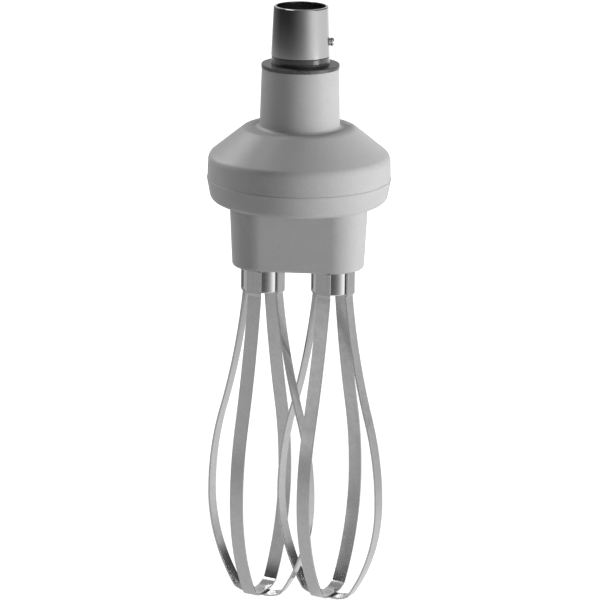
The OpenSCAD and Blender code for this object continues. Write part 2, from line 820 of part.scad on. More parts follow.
// One half of a loop's outer line, from the hub down to the middle of its bottom.
// A hollow arc and a full one, tangent to each other, lead from the hub to the widest place.
// One long arc, a tight bend and a shallow arc lead from there to the flat middle of the bottom.
function leg_line(bottom_z, belly_r, belly_height, shoulder_r, lower_r, lean) =
    let (belly_z = bottom_z + belly_height,
         belly_centre = [belly_r - shoulder_r, belly_z],
         across = leg_top_r - belly_centre.x, down = leg_top_z - belly_z,
         neck_r = (pow(across, 2) + pow(down, 2) - pow(shoulder_r, 2))
             / (2 * (shoulder_r - across * cos(lean) - down * sin(lean))),
         neck_centre = [leg_top_r, leg_top_z] + polar(neck_r, lean),
         tilt = direction(belly_centre, neck_centre),
         lower_centre = [belly_r - lower_r, belly_z],
         corner_x = lower_centre.x + sqrt(pow(lower_r, 2) - pow(belly_height - bottom_rise, 2)),
         floor_r = (pow(corner_x - bottom_land, 2) + pow(bottom_rise, 2)) / (2 * bottom_rise),
         floor_centre = [bottom_land, bottom_z + floor_r],
         bend_centre = meeting(lower_centre, lower_r - bottom_bend_r,
             floor_centre, floor_r - bottom_bend_r),
         bend = direction(lower_centre, bend_centre), foot = direction(floor_centre, bend_centre))
    concat(
        [[tab_outer_r, hub_top_z - 0.3], [tab_outer_r, joggle_top_z]],
        arc_points(neck_centre, neck_r, 180 + lean, 180 + tilt, 12),
        arc_points(belly_centre, shoulder_r, tilt, 0, 14),
        arc_points(lower_centre, lower_r, bend / 16, bend, 15),
        arc_points(bend_centre, bottom_bend_r, bend + (foot - bend) / 4, foot, 3),
        arc_points(floor_centre, floor_r, foot - (foot + 90) / 6, -90, 5),
        [[0, bottom_z]]);

// The same line moved inwards by the strip's thickness
function inset_line(line, by) =
    let (n = len(line))
    [for (i = [0:n - 1])
        let (d = unit(line[min(i + 1, n - 1)] - line[max(i - 1, 0)])) line[i] + by * [d.y, -d.x]];

// A closed loop of flat strip, with wider ends that lie on the hub's flats
module strip_loop(bottom_z, belly_r, belly_height, shoulder_r, lower_r, lean) {
    line = leg_line(bottom_z, belly_r, belly_height, shoulder_r, lower_r, lean);
    inner = inset_line(line, strip_thickness);
    half = concat(line,
        [for (i = [len(inner) - 1:-1:0]) i < 2 ? line[i] - [strip_thickness, 0] : inner[i]]);
    rotate([90, 0, 0]) translate([0, 0, -strip_width / 2]) linear_extrude(strip_width)
        for (flip = [0, 1]) mirror([flip, 0]) polygon(half);
    for (flip = [0, 1]) mirror([flip, 0, 0])
        translate([flat_r, -tab_width / 2, joggle_top_z])
            cube([strip_thickness, tab_width, hub_top_z - 0.3 - joggle_top_z]);
}

module outer_loop(side, turn) {
    color(steel)
        at_side(side) rotate([0, 0, turn])
            strip_loop(whisk_bottom_z, outer_belly_r, outer_belly_height,
                outer_shoulder_r, outer_lower_r, outer_top_lean);
}

module inner_loop(side, turn) {
    bottom_z = whisk_bottom_z + strip_thickness;
    color(steel)
        at_side(side) rotate([0, 0, turn + 90])
            strip_loop(bottom_z, inner_belly_r, inner_belly_height - strip_thickness,
                inner_shoulder_r, inner_lower_r, inner_top_lean);
}

// ---- Parts ----

coupling_sleeve();
bayonet_pin();
seal_ring();
retaining_collar();
upper_housing();
lower_housing();
housing_gasket();
housing_screws();
gear_plate();
input_bearing();
input_bush();
layshaft_upper_bush();
layshaft_lower_bush();
spindle_bearing(-1, upper_bearing_z);  // left_upper_bearing
spindle_bearing(-1, lower_bearing_z);  // left_lower_bearing
spindle_bearing(1, upper_bearing_z);  // right_upper_bearing
spindle_bearing(1, lower_bearing_z);  // right_lower_bearing
shaft_seal(-1);  // left_shaft_seal
shaft_seal(1);  // right_shaft_seal
input_shaft();
drive_coupling();
input_pinion();
input_circlip();
layshaft();
layshaft_wheel();
layshaft_pinion();
spindle(-1, left_angle);  // left_spindle
output_gear(-1, 0);  // left_output_gear
spindle_circlips(-1);  // left_circlips
spindle(1, right_angle);  // right_spindle
output_gear(1, right_phase);  // right_output_gear
spindle_circlips(1);  // right_circlips
whisk_hub(-1, left_angle);  // left_whisk_hub
outer_loop(-1, left_angle);  // left_outer_loop
inner_loop(-1, left_angle);  // left_inner_loop
snap_ring(-1, left_angle);  // left_snap_ring
whisk_hub(1, right_angle);  // right_whisk_hub
outer_loop(1, right_angle);  // right_outer_loop
inner_loop(1, right_angle);  // right_inner_loop
snap_ring(1, right_angle);  // right_snap_ring
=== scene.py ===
import math

import bmesh
import bpy
from mathutils import Matrix, Vector


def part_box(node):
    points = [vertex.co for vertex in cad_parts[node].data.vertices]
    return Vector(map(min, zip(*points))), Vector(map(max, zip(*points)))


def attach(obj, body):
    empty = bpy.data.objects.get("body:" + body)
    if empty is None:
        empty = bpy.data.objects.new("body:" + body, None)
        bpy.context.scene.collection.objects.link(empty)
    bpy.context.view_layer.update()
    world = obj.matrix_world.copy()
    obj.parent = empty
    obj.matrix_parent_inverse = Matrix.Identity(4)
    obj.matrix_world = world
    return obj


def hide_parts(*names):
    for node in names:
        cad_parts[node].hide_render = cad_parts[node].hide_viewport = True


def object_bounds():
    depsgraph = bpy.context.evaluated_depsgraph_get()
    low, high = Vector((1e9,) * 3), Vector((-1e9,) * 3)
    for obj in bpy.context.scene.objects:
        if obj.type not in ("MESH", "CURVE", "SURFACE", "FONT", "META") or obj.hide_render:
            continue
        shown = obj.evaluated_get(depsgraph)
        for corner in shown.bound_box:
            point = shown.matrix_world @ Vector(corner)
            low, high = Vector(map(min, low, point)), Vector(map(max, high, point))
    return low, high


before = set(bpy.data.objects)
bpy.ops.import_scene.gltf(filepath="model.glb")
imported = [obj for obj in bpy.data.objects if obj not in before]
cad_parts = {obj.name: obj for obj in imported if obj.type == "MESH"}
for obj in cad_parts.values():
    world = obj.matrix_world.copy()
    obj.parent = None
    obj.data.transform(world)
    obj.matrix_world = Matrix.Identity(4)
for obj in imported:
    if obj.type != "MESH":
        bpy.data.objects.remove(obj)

CAD_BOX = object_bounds()
MM = 0.001

# ---- Places, in millimetres, taken from the CAD nodes ----


def corners(node):
    """Lowest and highest corner of a CAD node."""
    low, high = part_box(node)
    return low / MM, high / MM


sleeve_low, sleeve_high = corners("coupling_sleeve")
seal_low, seal_high = corners("seal_ring")
collar_low, collar_high = corners("retaining_collar")
upper_low, upper_high = corners("upper_housing")
lower_low, lower_high = corners("lower_housing")
gasket_low, gasket_high = corners("housing_gasket")
pin_low, pin_high = corners("bayonet_pin")
hub_high = corners("left_whisk_hub")[1]
outer_low, outer_high = corners("left_outer_loop")
screws_high = corners("housing_screws")[1]
upper_bearing_low, upper_bearing_high = corners("left_upper_bearing")
lower_bearing_high = corners("left_lower_bearing")[1]
input_bearing_low, input_bearing_high = corners("input_bearing")
bush_low, bush_high = corners("layshaft_upper_bush")
spindle_low = corners("left_spindle")[0]
snap_ring_low = corners("left_snap_ring")[0]

seat_z = collar_high.z
collar_z = upper_high.z
band_r = upper_high.x
parting_z = upper_low.z
pan_r = lower_high.x
nose_z = lower_low.z
flange_top_z = collar_low.z
flange_z = sleeve_low.z
half_spacing = -(upper_bearing_low.x + upper_bearing_high.x) / 2
bearing_r = (upper_bearing_high.x - upper_bearing_low.x) / 2
lay_x = (bush_low.x + bush_high.x) / 2
lay_y = (bush_low.y + bush_high.y) / 2
bush_r = (bush_high.x - bush_low.x) / 2

# Sizes of the CAD model that a node's box doesn't give
SHELL = 3.0
NECK_TOP_R, NECK_FOOT_R, NECK_FOOT_Z = 21.05, 22.05, -68.1
CONE_R, CONE_Z = 49.99, -82.2
PAN_Z, PAN_BOTTOM_R = -107.2, pan_r - 2.3
NOSE_R, NOSE_DRAFT = 17.1, math.radians(2.6)
TUBE_R, TUBE_BASE_R, BORE_R, BORE_STEP, BORE_DEPTH = 14.9, 16.0, 13.4, 0.6, -24.4
SHAFT_HOLE_R, BOSS_INSIDE_R = 11, 13
SEAL_SEAT_R = TUBE_BASE_R - 1.1
PIN_Z, PIN_R = (pin_low.z + pin_high.z) / 2, (pin_high.z - pin_low.z) / 2
PIN_SHANK_R, PIN_HEAD = PIN_R - 0.6, 2.6
SCREW_R, SCREW_HEAD_R, SCREW_SEAT = 1.9, 3.5, PAN_Z + 2.9
BOSS_R, RIB = 4.1, 2.0
HUB_TOP, HUB_BOTTOM, HUB_R, HUB_FLAT = -146.4, -159.2, 10.9, 10.5
SHANK_R, SHANK_SQUARE, SQUARE_LENGTH = 4.0, 5.4 / 2, 9
STRIP, STRIP_WIDTH, TAB_WIDTH = 1.1, 8.0, 8.8
WHISK_TURN = {-1: math.radians(-20.75), 1: math.radians(-24.25)}

# The moat's outer lip lies further out on the cone than in the CAD model, which makes it softer
SHOULDER_R, SHOULDER_Z, SHOULDER_ROUND = 29.0, -65.17, 6
# Room between a piece and the one that it sits in
GAP = 0.03
# Sides of the turned pieces, of which the shells are the widest
SIDES, SHELL_SIDES = 192, 240
# Round tools are turned by this odd angle, because exact Booleans fail where facets coincide
TOOL_TURN = Matrix.Rotation(0.0531, 4, "Z")

# ---- Outlines ----


def arc(centre, radius, start, end, steps):
    """Points from angle start to angle end, in degrees."""
    out = []
    for i in range(steps + 1):
        a = math.radians(start + (end - start) * i / steps)
        out.append((centre[0] + radius * math.cos(a), centre[1] + radius * math.sin(a)))
    return out


def rounded(points, step=7.0):
    """Closed outline from (x, y, rounding) corners."""
    out = []
    n = len(points)
    for i, (x, y, r) in enumerate(points):
        if r == 0:
            out.append((x, y))
            continue
        here = Vector((x, y))
        u = (Vector(points[i - 1][:2]) - here).normalized()
        v = (Vector(points[(i + 1) % n][:2]) - here).normalized()
        half = math.acos(max(-1.0, min(1.0, u.dot(v)))) / 2
        centre = here + (u + v).normalized() * (r / math.sin(half))
        first = here + u * (r / math.tan(half)) - centre
        last = here + v * (r / math.tan(half)) - centre
        start = math.atan2(first.y, first.x)
        sweep = math.atan2(first.x * last.y - first.y * last.x, first.dot(last))
        count = max(2, math.ceil(abs(math.degrees(sweep)) / step))
        for k in range(count + 1):
            a = start + sweep * k / count
            out.append((centre.x + r * math.cos(a), centre.y + r * math.sin(a)))
    return out


def finely(outline, longest):
    """The same closed outline with no side longer than longest."""
    out = []
    for i, a in enumerate(outline):
        b = outline[(i + 1) % len(outline)]
        count = max(1, math.ceil(math.dist(a, b) / longest))
        for k in range(count):
            t = k / count
            out.append((a[0] + (b[0] - a[0]) * t, a[1] + (b[1] - a[1]) * t))
    return out


# ---- Meshes ----


def in_scene(name, bm, in_triangles=False):
    """Object made from a bmesh, which is used up."""
    bmesh.ops.recalc_face_normals(bm, faces=bm.faces)
    if in_triangles:
        bmesh.ops.triangulate(bm, faces=bm.faces)
    mesh = bpy.data.meshes.new(name)
    bm.to_mesh(mesh)
    bm.free()
    piece = bpy.data.objects.new(name, mesh)
    bpy.context.scene.collection.objects.link(piece)
    return piece


def finish_mesh(name, bm, sharp=35.0, place=None):
    """Makes an object in metres from a bmesh in millimetres, smooth apart from its sharp edges."""
    if place is not None:
        bm.transform(place)
    bm.transform(Matrix.Scale(MM, 4))
    piece = in_scene(name, bm)
    mesh = piece.data
    mesh.polygons.foreach_set("use_smooth", [True] * len(mesh.polygons))
    mesh.set_sharp_from_angle(angle=math.radians(sharp))
    weighted = piece.modifiers.new("weighted", "WEIGHTED_NORMAL")
    weighted.keep_sharp = True
    weighted.weight = 50
    return piece


def revolved(outline, segments):
    """bmesh of a closed (r, z) outline turned about Z; points with r = 0 lie on the axis."""
    bm = bmesh.new()
    rings = []
    for r, z in outline:
        if r < 1e-6:
            rings.append([bm.verts.new((0, 0, z))])
        else:
            rings.append([bm.verts.new((r * math.cos(2 * math.pi * k / segments),
                                        r * math.sin(2 * math.pi * k / segments), z))
                          for k in range(segments)])
    for i, a in enumerate(rings):
        b = rings[(i + 1) % len(rings)]
        if len(a) == 1 and len(b) == 1:
            continue
        for k in range(segments):
            n = (k + 1) % segments
            if len(a) == 1:
                bm.faces.new((a[0], b[n], b[k]))
            elif len(b) == 1:
                bm.faces.new((a[k], a[n], b[0]))
            else:
                bm.faces.new((a[k], a[n], b[n], b[k]))
    return bm


def stacked(levels):
    """bmesh through closed loops of equal length, given as lists of (x, y, z), with both ends capped."""
    bm = bmesh.new()
    loops = [[bm.verts.new(p) for p in level] for level in levels]
    n = len(loops[0])
    for a, b in zip(loops, loops[1:]):
        for k in range(n):
            bm.faces.new((a[k], a[(k + 1) % n], b[(k + 1) % n], b[k]))
    bm.faces.new(list(reversed(loops[0])))
    bm.faces.new(loops[-1])
    return bm


def turned_tool(x, y, outline, segments):
    """A revolved bmesh that stands at (x, y), for a Boolean."""
    bm = revolved(outline, segments)
    bm.transform(Matrix.Translation((x, y, 0)) @ TOOL_TURN)
    return bm


def cylinder(x, y, r, low, high, segments):
    return turned_tool(x, y, [(0, low), (r, low), (r, high), (0, high)], segments)


def together(parts):
    """One bmesh from several, which are used up. Those for one Boolean mustn't touch."""
    whole = bmesh.new()
    for part in parts:
        mesh = bpy.data.meshes.new("part")
        part.to_mesh(mesh)
        part.free()
        whole.from_mesh(mesh)
        bpy.data.meshes.remove(mesh)
    return whole


def carved(name, bm, added, removed, sharp=35.0):
    """Adds and then removes bmeshes with Booleans, in millimetres, and makes the object."""
    work = in_scene(name, bm, True)
    for operation, parts in (("UNION", added), ("DIFFERENCE", removed)):
        if not parts:
            continue
        tool = in_scene("tool", together(parts), True)
        modifier = work.modifiers.new("cut", "BOOLEAN")
        modifier.operation = operation
        modifier.solver = "EXACT"
        modifier.object = tool
        bpy.context.view_layer.update()
        made = bpy.data.meshes.new_from_object(
            work.evaluated_get(bpy.context.evaluated_depsgraph_get()))
        flat = bmesh.new()
        flat.from_mesh(made)
        bmesh.ops.triangulate(flat, faces=flat.faces)
        flat.to_mesh(made)
        flat.free()
        work.modifiers.remove(modifier)
        old, tool_mesh = work.data, tool.data
        work.data = made
        bpy.data.objects.remove(tool)
        bpy.data.meshes.remove(old)
        bpy.data.meshes.remove(tool_mesh)
    result = bmesh.new()
    result.from_mesh(work.data)
    used = work.data
    bpy.data.objects.remove(work)
    bpy.data.meshes.remove(used)
    bmesh.ops.remove_doubles(result, verts=result.verts, dist=0.0005)
    bmesh.ops.dissolve_degenerate(result, edges=result.edges, dist=0.0005)
    return finish_mesh(name, result, sharp)


# ---- Materials ----


class Nodes:
    """A Principled material under construction."""

    def __init__(self, name, colour, roughness, metallic=0.0):
        self.material = bpy.data.materials.new(name)
        self.material.use_nodes = True
        self.tree = self.material.node_tree
        self.shader = self.tree.nodes["Principled BSDF"]
        self.shader.inputs["Base Color"].default_value = (*colour, 1)
        self.shader.inputs["Roughness"].default_value = roughness
        self.shader.inputs["Metallic"].default_value = metallic
        self.at = self.new("ShaderNodeTexCoord").outputs["Object"]

    def new(self, kind, **settings):
        node = self.tree.nodes.new(kind)
        for key, value in settings.items():
            setattr(node, key, value)
        return node

    def link(self, out, into):
        self.tree.links.new(out, into)

    def stretched(self, scale):
        """Object coordinates scaled by (x, y, z)."""
        node = self.new("ShaderNodeMapping", vector_type="POINT")
        node.inputs["Scale"].default_value = scale
        self.link(self.at, node.inputs["Vector"])
        return node.outputs["Vector"]

    def noise(self, size, detail, rough=0.5, vector=None):
        """Noise whose features are about size metres across."""
        node = self.new("ShaderNodeTexNoise")
        node.inputs["Scale"].default_value = 1 / size
        node.inputs["Detail"].default_value = detail
        node.inputs["Roughness"].default_value = rough
        self.link(vector if vector is not None else self.at, node.inputs["Vector"])
        return node.outputs["Fac"]

    def ranged(self, value, low, high, from_low=0.3, from_high=0.7):
        """Value carried over from one range to the one from low to high, and kept inside it."""
        node = self.new("ShaderNodeMapRange", clamp=True)
        self.link(value, node.inputs["Value"])
        node.inputs["From Min"].default_value = from_low
        node.inputs["From Max"].default_value = from_high
        node.inputs["To Min"].default_value = low
        node.inputs["To Max"].default_value = high
        return node.outputs["Result"]

    def sum(self, a, b):
        node = self.new("ShaderNodeMath", operation="ADD")
        self.link(a, node.inputs[0])
        self.link(b, node.inputs[1])
        return node.outputs[0]

    def mix_colour(self, factor, a, b):
        node = self.new("ShaderNodeMix", data_type="RGBA")
        for socket, value in ((node.inputs[0], factor), (node.inputs[6], a), (node.inputs[7], b)):
            if isinstance(value, tuple):
                socket.default_value = (*value, 1)
            elif isinstance(value, (int, float)):
                socket.default_value = value
            else:
                self.link(value, socket)
        return node.outputs[2]

    def bumped(self, height, distance, strength, before=None):
        """Normal of a bump of distance metres, on top of the bump before it."""
        node = self.new("ShaderNodeBump")
        node.inputs["Strength"].default_value = strength
        node.inputs["Distance"].default_value = distance
        self.link(height, node.inputs["Height"])
        if before is not None:
            self.link(before, node.inputs["Normal"])
        return node.outputs["Normal"]

    def set(self, name, out):
        """Links an output to one of the shader's own sockets."""
        self.link(out, self.shader.inputs[name])


def grey(value):
    return (value, value, value)


def plastic(name, level):
    """Spark-eroded moulded plastic: fine sandy grain and faint mottling."""
    m = Nodes(name, grey(level), 0.5)
    sand = m.noise(0.0007, 3.0, 0.6)
    clouds = m.noise(0.006, 3.0, 0.55)
    grain = m.mix_colour(m.ranged(sand, 0, 1), grey(level * 0.9), grey(level * 1.09))
    worn = m.mix_colour(m.ranged(clouds, 0, 0.35), grain, grey(level * 1.1))
    m.set("Base Color", worn)
    m.set("Roughness", m.ranged(sand, 0.38, 0.5))
    fine = m.bumped(sand, 0.00005, 0.55)
    m.set("Normal", m.bumped(clouds, 0.0001, 0.25, fine))
    return m.material


def brushed_round(name, level, roughness, streak=0.06):
    """Turned steel with fine lines round its axis and faint blotches."""
    m = Nodes(name, grey(level), roughness, 1.0)
    lines = m.noise(1.0, 2.0, 0.7, m.stretched((60, 60, 9000)))
    blotch = m.noise(0.009, 2.0)
    lined = m.mix_colour(m.ranged(lines, 0, 1), grey(level * (1 - streak)), grey(level * (1 + streak)))
    m.set("Base Color", m.mix_colour(m.ranged(blotch, 0, 0.3), lined, grey(level * 0.9)))
    m.set("Roughness", m.ranged(lines, roughness * 0.85, roughness * 1.2))
    m.set("Normal", m.bumped(lines, 0.000006, 0.2))
    return m.material


def strip_steel(name, level, roughness):
    """Rolled spring-steel strip: lines along it, soft scuffs and small pits."""
    m = Nodes(name, grey(level), roughness, 1.0)
    lines = m.noise(1.0, 3.0, 0.65, m.stretched((3500, 3500, 45)))
    scuffs = m.noise(0.004, 4.0, 0.6)
    pits = m.noise(0.0009, 1.0, 0.5)
    base = m.mix_colour(m.ranged(lines, 0, 1), grey(level * 0.93), grey(level * 1.06))
    base = m.mix_colour(m.ranged(scuffs, 0, 0.4, 0.42, 0.7), base, grey(level * 0.84))
    m.set("Base Color", base)
    worn = m.ranged(scuffs, -0.03, 0.05)
    m.set("Roughness", m.sum(worn, m.ranged(lines, roughness * 0.9, roughness * 1.15)))
    m.set("Normal", m.bumped(pits, 0.00002, 0.12, m.bumped(lines, 0.000012, 0.4)))
    return m.material


def dark_metal(name, level, roughness):
    """Blackened steel with a matt, slightly cloudy finish."""
    m = Nodes(name, grey(level), roughness, 0.95)
    grain = m.noise(0.0008, 3.0, 0.6)
    clouds = m.noise(0.004, 2.0)
    base = m.mix_colour(m.ranged(grain, 0, 1), grey(level * 0.55), grey(level * 1.6))
    m.set("Base Color", m.mix_colour(m.ranged(clouds, 0, 0.4), base, grey(level * 1.4)))
    m.set("Roughness", m.ranged(grain, roughness * 0.85, roughness * 1.15))
    m.set("Normal", m.bumped(grain, 0.00004, 0.5))
    return m.material


def rubber(name, level, roughness):
    """Black rubber with a glossy skin, dusty in places."""
    m = Nodes(name, grey(level), roughness)
    m.shader.inputs["Coat Weight"].default_value = 1.0
    m.shader.inputs["Coat Roughness"].default_value = 0.14
    m.shader.inputs["Coat IOR"].default_value = 1.6
    grain = m.noise(0.0008, 3.0, 0.6)
    dust = m.noise(0.005, 3.0)
    m.set("Base Color", m.mix_colour(m.ranged(dust, 0, 0.6), grey(level), grey(level * 1.8)))
    m.set("Roughness", m.ranged(grain, roughness * 0.85, roughness * 1.2))
    m.set("Normal", m.bumped(grain, 0.00003, 0.35))
    return m.material


def bronze(name):
    """Sintered bronze: warm, porous and matt."""
    m = Nodes(name, (0.42, 0.25, 0.11), 0.42, 1.0)
    pores = m.noise(0.0004, 2.0, 0.6)
    m.set("Base Color", m.mix_colour(m.ranged(pores, 0, 1), (0.34, 0.19, 0.08), (0.5, 0.31, 0.15)))
    m.set("Roughness", m.ranged(pores, 0.36, 0.55))
    m.set("Normal", m.bumped(pores, 0.00003, 0.5))
    return m.material


housing_grey = plastic("housing_grey", 0.4)
satin_steel = brushed_round("satin_steel", 0.56, 0.15, 0.03)
polished_steel = brushed_round("polished_steel", 0.8, 0.14, 0.03)
strip_metal = strip_steel("strip_steel", 0.6, 0.16)
strip_edge = brushed_round("strip_edge", 0.8, 0.2)
collar_steel = dark_metal("dark_steel", 0.13, 0.4)
black_rubber = rubber("black_rubber", 0.011, 0.36)
bush_bronze = bronze("bronze")
gear_steel = brushed_round("gear_steel", 0.45, 0.33, 0.08)

# ---- Coupling tube ----

sleeve_outline = rounded([
    (BORE_R, 0, 0.25), (TUBE_R, 0, 0.7), (TUBE_BASE_R, seal_high.z, 0.2),
    (SEAL_SEAT_R, seal_high.z, 0), (SEAL_SEAT_R, flange_top_z, 0),
    (sleeve_high.x, flange_top_z, 0), (sleeve_high.x, flange_z, 0),
    (SHAFT_HOLE_R, flange_z, 0), (SHAFT_HOLE_R, flange_top_z, 0), (BORE_R - BORE_STEP, flange_top_z, 0),
    (BORE_R - BORE_STEP, BORE_DEPTH, 0), (BORE_R, BORE_DEPTH, 0)])
along_x = Matrix.Translation((0, 0, PIN_Z)) @ Matrix.Rotation(math.radians(90), 4, "Y")
hole_r, hole_start, hole_end = PIN_SHANK_R + GAP, BORE_R - 1.4, TUBE_BASE_R + 2
pin_hole = revolved([(0, hole_start), (hole_r, hole_start), (hole_r, hole_end), (0, hole_end)], 48)
pin_hole.transform(along_x)
sleeve = carved("sleeve_tube", revolved(finely(sleeve_outline, 3.0), SIDES), [], [pin_hole])

pin_wall, chamfer = pin_high.x - PIN_HEAD, 0.35
pin_outline = rounded([
    (0, pin_low.x, 0), (PIN_SHANK_R, pin_low.x, 0), (PIN_SHANK_R, pin_wall, 0),
    (PIN_R - chamfer, pin_wall, 0), (PIN_R, pin_wall + 0.6, 0.4), (PIN_R, pin_high.x - chamfer, 1.1),
    (0.4, pin_high.x, 0.3), (0, pin_high.x, 0)], 5.0)
pin = finish_mesh("pin_head", revolved(pin_outline, 64), place=along_x)

# The seal ring has a shallow groove round its middle
seal_r = seal_high.x
seal_inner = SEAL_SEAT_R + GAP
groove_z, groove_half, groove_depth, groove_round = seat_z + 1.5, 0.25, 0.22, 0.12
seal_outline = rounded([
    (seal_inner, seal_low.z, 0), (seal_r, seal_low.z, 0), (seal_r, groove_z - groove_half, groove_round),
    (seal_r - groove_depth, groove_z, groove_round), (seal_r, groove_z + groove_half, groove_round),
    (seal_r, seal_high.z, 0.45), (seal_inner, seal_high.z, 0)])
seal = finish_mesh("seal_band", revolved(seal_outline, SIDES), sharp=50)

collar_outline = rounded([
    (seal_r + GAP, seat_z, 0.15), (collar_high.x, seat_z, 0.4), (collar_high.x, collar_z, 0.2),
    (sleeve_high.x, collar_z, 0), (sleeve_high.x, flange_top_z, 0), (seal_inner, flange_top_z, 0),
    (seal_inner, seal_low.z, 0), (seal_r + GAP, seal_low.z, 0)])
collar = finish_mesh("collar_ring", revolved(finely(collar_outline, 4.0), SIDES))

# ---- Upper housing ----

cavity_r = band_r - SHELL
cavity_top = NECK_FOOT_Z - SHELL
slope = (SHOULDER_Z - CONE_Z) / (CONE_R - SHOULDER_R)
cone_drop = SHELL * math.sqrt(1 + slope * slope)


def cone_inside_z(r):
    """Height of the cone's inner wall at a radius."""
    return SHOULDER_Z - slope * (r - SHOULDER_R) - cone_drop


def cone_inside_r(z):
    """Radius of the cone's inner wall at a height."""
    return SHOULDER_R + (SHOULDER_Z - cone_drop - z) / slope


counterbore_r = sleeve_high.x + GAP
pocket_r = input_bearing_high.x + GAP
pocket_z = input_bearing_low.z
pocket_floor_z = pocket_z - SHELL
upper_outline = rounded([
    (counterbore_r, collar_z, 0), (NECK_TOP_R, collar_z, 0.25), (NECK_FOOT_R, NECK_FOOT_Z, 2.4),
    (SHOULDER_R, SHOULDER_Z, SHOULDER_ROUND), (CONE_R, CONE_Z, 5.6), (band_r, parting_z, 0.12),
    (cavity_r, parting_z, 0), (cavity_r, cone_inside_z(cavity_r), 0),
    (cone_inside_r(cavity_top), cavity_top, 0), (BOSS_INSIDE_R, cavity_top, 0),
    (BOSS_INSIDE_R, pocket_floor_z, 0), (SHAFT_HOLE_R, pocket_floor_z, 0), (SHAFT_HOLE_R, pocket_z, 0),
    (pocket_r, pocket_z, 0), (pocket_r, flange_z, 0), (counterbore_r, flange_z, 0)], 5.0)

screw_x, screw_y = screws_high.x - SCREW_HEAD_R, screws_high.y - SCREW_HEAD_R
screw_circle = math.hypot(screw_x, screw_y)
screw_turn = math.degrees(math.atan2(screw_y, screw_x))
screw_angles = [start + turn for start in (0, 180) for turn in (-screw_turn, screw_turn)]
screw_places = [(screw_circle * math.cos(math.radians(a)), screw_circle * math.sin(math.radians(a)))
                for a in screw_angles]
plate_top = parting_z + SHELL
boss_top = cone_inside_z(screw_circle + BOSS_R) + cone_drop - 1.2


def screw_bosses(low, high, rib_high):
    """Four round bosses, each with a rib out to the shell's wall, whose top ends at rib_high there."""
    half = RIB / 2
    turn = math.degrees(math.asin(half / BOSS_R))
    outline = arc((screw_circle, 0), BOSS_R, turn, 360 - turn, 40)
    outline += [(cavity_r + 0.1, -half), (cavity_r + 0.1, half)]
    out = []
    for angle in screw_angles:
        top = [(x, y, high) for x, y in outline[:-2]] + [(x, y, rib_high) for x, y in outline[-2:]]
        boss = stacked([[(x, y, low) for x, y in outline], top])
        boss.transform(Matrix.Rotation(math.radians(angle), 4, "Z"))
        out.append(boss)
    return out


bush_boss = cylinder(lay_x, lay_y, bush_r + 2.2, bush_low.z, cavity_top + 1, 64)
bush_hole = cylinder(lay_x, lay_y, bush_r + GAP, bush_low.z - 1, bush_high.z, 64)
screw_holes = [cylinder(x, y, SCREW_R + GAP, plate_top - 1, screws_high.z + 0.5, 32)
               for x, y in screw_places]
upper = carved("upper_shell", revolved(finely(upper_outline, 4.0), SHELL_SIDES),
               screw_bosses(plate_top, boss_top, cone_inside_z(cavity_r) + 1) + [bush_boss],
               [bush_hole] + screw_holes, 30)

# ---- Lower housing ----

floor_z = PAN_Z + SHELL
gasket_seat = gasket_high.x + GAP
pan_outline = rounded([
    (0, PAN_Z, 0), (PAN_BOTTOM_R, PAN_Z, 4), (pan_r, parting_z, 0.3), (gasket_seat, parting_z, 0),
    (gasket_seat, gasket_low.z, 0), (cavity_r, gasket_low.z, 0),
    (PAN_BOTTOM_R - SHELL, floor_z, 0), (0, floor_z, 0)], 5.0)


def oval(r, z):
    """Outline round both spindles at a height."""
    ends = arc((half_spacing, 0), r, -90, 90, 48)
    return [(side * x, side * y, z) for side in (1, -1) for x, y in ends]


nose_edge, edge_rise = 1.75, 1.8
nose_levels = [(NOSE_R - nose_edge, nose_z)]
nose_levels += arc((NOSE_R - nose_edge, nose_z + edge_rise), edge_rise, -90, 0, 12)[1:]
for z in range(int(nose_z) + 3, int(PAN_Z) - 1, 3):
    nose_levels.append((NOSE_R + (z - nose_z) * math.tan(NOSE_DRAFT), z))
top_r = NOSE_R + (PAN_Z - nose_z) * math.tan(NOSE_DRAFT)
flare = 0.9
flare_centre = (top_r + flare - 0.04, PAN_Z - flare)
nose_levels += arc(flare_centre, flare, 180, 90, 5)
nose_levels.append((nose_levels[-1][0], PAN_Z + 1))

# Each spindle's hole has a bearing seat at each end and a narrower middle
bearing_seat, middle_r = bearing_r + GAP, bearing_r - 2
spindle_hole = [
    (0, nose_z - 1), (bearing_r + 1.4, nose_z - 1), (bearing_seat, nose_z + 0.37),
    (bearing_seat, lower_bearing_high.z), (middle_r, lower_bearing_high.z),
    (middle_r, upper_bearing_low.z), (bearing_seat, upper_bearing_low.z),
    (bearing_seat, floor_z + 0.5), (0, floor_z + 0.5)]
head_hole_r, screw_hole_r = SCREW_HEAD_R + 0.3, SCREW_R + 0.2
counterbore = [
    (0, PAN_Z - 1), (head_hole_r + 1.1, PAN_Z - 1), (head_hole_r, PAN_Z + 0.1),
    (head_hole_r, SCREW_SEAT), (screw_hole_r, SCREW_SEAT), (screw_hole_r, parting_z + 1), (0, parting_z + 1)]
cuts = [turned_tool(side * half_spacing, 0, spindle_hole, 96) for side in (-1, 1)]
cuts += [turned_tool(x, y, counterbore, 96) for x, y in screw_places]
nose = stacked([oval(r, z) for r, z in nose_levels])
lower = carved("lower_shell", revolved(finely(pan_outline, 5.0), SHELL_SIDES),
               [nose] + screw_bosses(floor_z - 1, parting_z, gasket_low.z), cuts, 30)

# ---- Whisk hubs ----


def hub_level(radius, z, flat=None):
    """Circle at a height. With flat, it is cut down to four flats at that distance from the axis."""
    out = []
    for k in range(SIDES):
        a = 2 * math.pi * k / SIDES
        quarter = abs((a + math.pi / 4) % (math.pi / 2) - math.pi / 4)
        r = radius if flat is None else min(radius, flat / math.cos(quarter))
        out.append((r * math.cos(a), r * math.sin(a), z))
    return out


